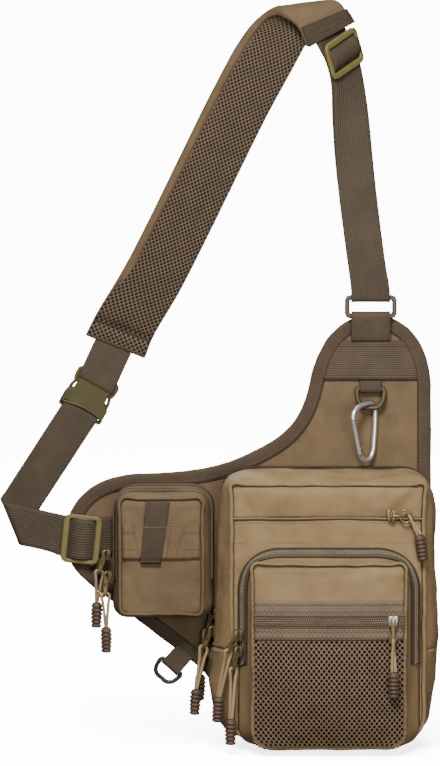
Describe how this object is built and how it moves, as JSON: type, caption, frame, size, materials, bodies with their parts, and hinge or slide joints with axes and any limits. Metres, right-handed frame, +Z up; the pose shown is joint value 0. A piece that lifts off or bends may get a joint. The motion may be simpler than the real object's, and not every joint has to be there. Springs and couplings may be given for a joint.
{
  "type": "sling tackle bag",
  "caption": "Tan canvas sling tackle bag: padded back panel with a zipped main pouch, a front pocket with a mesh pocket and a small side pouch, on a padded shoulder strap.",
  "frame": {"origin": "under the top of the shoulder strap, where the bag hangs from a hook or shoulder", "axes": "+Z up, -Y the front that the viewer sees, +X the viewer's right; the back panel's flat back looks along +Y"},
  "size_m": [0.415, 0.1295, 0.7069],
  "materials": {
    "canvas": "coarse oxford weave, matt",
    "binding_tape": "woven tape, matt",
    "zip_tape": "woven zip tape, matt",
    "webbing": "ribbed woven webbing, matt",
    "mesh": "open spacer mesh, matt",
    "olive_plastic": "satin moulded plastic",
    "bronze_plastic": "satin moulded plastic",
    "aluminium": "polished",
    "dark_metal": "dark coated wire",
    "brass": "antique brass, worn",
    "cord": "braided cord",
    "grip_rubber": "moulded, ridged"
  },
  "bodies": {
    "bag": {"back_panel": "canvas", "main_gusset_upper": "canvas", "main_gusset_lower": "canvas", "main_front_upper": "canvas", "main_front_lower": "canvas", "front_pocket_gusset": "canvas", "front_pocket_face": "canvas", "small_gusset": "canvas", "small_front": "canvas", "small_band": "canvas", "pad_shell": "canvas", "panel_binding": "binding_tape", "main_zip": "zip_tape", "front_pocket_zip": "zip_tape", "small_zip": "zip_tape", "top_webbing_band": "webbing", "ring_loop_webbing": "webbing", "d_ring_tab_top": "webbing", "d_ring_tab_lower": "webbing", "mesh_zip_band": "webbing", "small_tab": "webbing", "pad_end_band": "webbing", "strap_webbing_upper": "webbing", "strap_webbing_lower": "webbing", "pad_lower_webbing": "webbing", "mesh_panel": "mesh", "pad_mesh": "mesh", "tri_glide_upper": "olive_plastic", "tri_glide_lower": "olive_plastic", "buckle_female": "olive_plastic", "buckle_male": "olive_plastic", "rect_ring": "bronze_plastic", "zip_slider_1": "brass", "zip_slider_2": "brass", "zip_slider_3": "brass", "zip_slider_4": "brass", "zip_slider_5": "brass", "zip_slider_6": "brass", "zip_slider_7": "brass", "zip_slider_8": "brass", "pull_cord_1": "cord", "pull_cord_2": "cord", "pull_cord_3": "cord", "pull_cord_4": "cord", "pull_cord_5": "cord", "pull_cord_6": "cord", "pull_cord_7": "cord", "pull_cord_8": "cord", "pull_grip_1": "grip_rubber", "pull_grip_2": "grip_rubber", "pull_grip_3": "grip_rubber", "pull_grip_4": "grip_rubber", "pull_grip_5": "grip_rubber", "pull_grip_6": "grip_rubber", "pull_grip_7": "grip_rubber", "pull_grip_8": "grip_rubber"},
    "upper_ring": {"d_ring_top": "olive_plastic"},
    "clip": {"carabiner_body": "aluminium"},
    "clip_gate": {"carabiner_gate": "aluminium"},
    "lower_ring": {"d_ring_lower": "dark_metal"}
  },
  "joints": [
    {"name": "upper_ring_swing", "type": "hinge", "parent": "bag", "child": "upper_ring", "pos_m": [0.067, -0.0046, -0.358], "axis": [-1, 0, 0], "range_deg": [0, 50]},
    {"name": "clip_swing", "type": "hinge", "parent": "upper_ring", "child": "clip", "pos_m": [0.067, -0.00895, -0.37546], "axis": [-1, 0, 0], "range_deg": [0, 60]},
    {"name": "clip_gate_open", "type": "hinge", "parent": "clip", "child": "clip_gate", "pos_m": [0.05639, -0.01956, -0.41867], "axis": [-0.7071, 0.7071, 0], "range_deg": [0, 25], "stiffness_Nm_per_rad": 0.02},
    {"name": "lower_ring_swing", "type": "hinge", "parent": "bag", "child": "lower_ring", "pos_m": [-0.122, -0.006, -0.6246], "axis": [0.7431, 0, -0.6691], "range_deg": [-60, 60]}
  ]
}
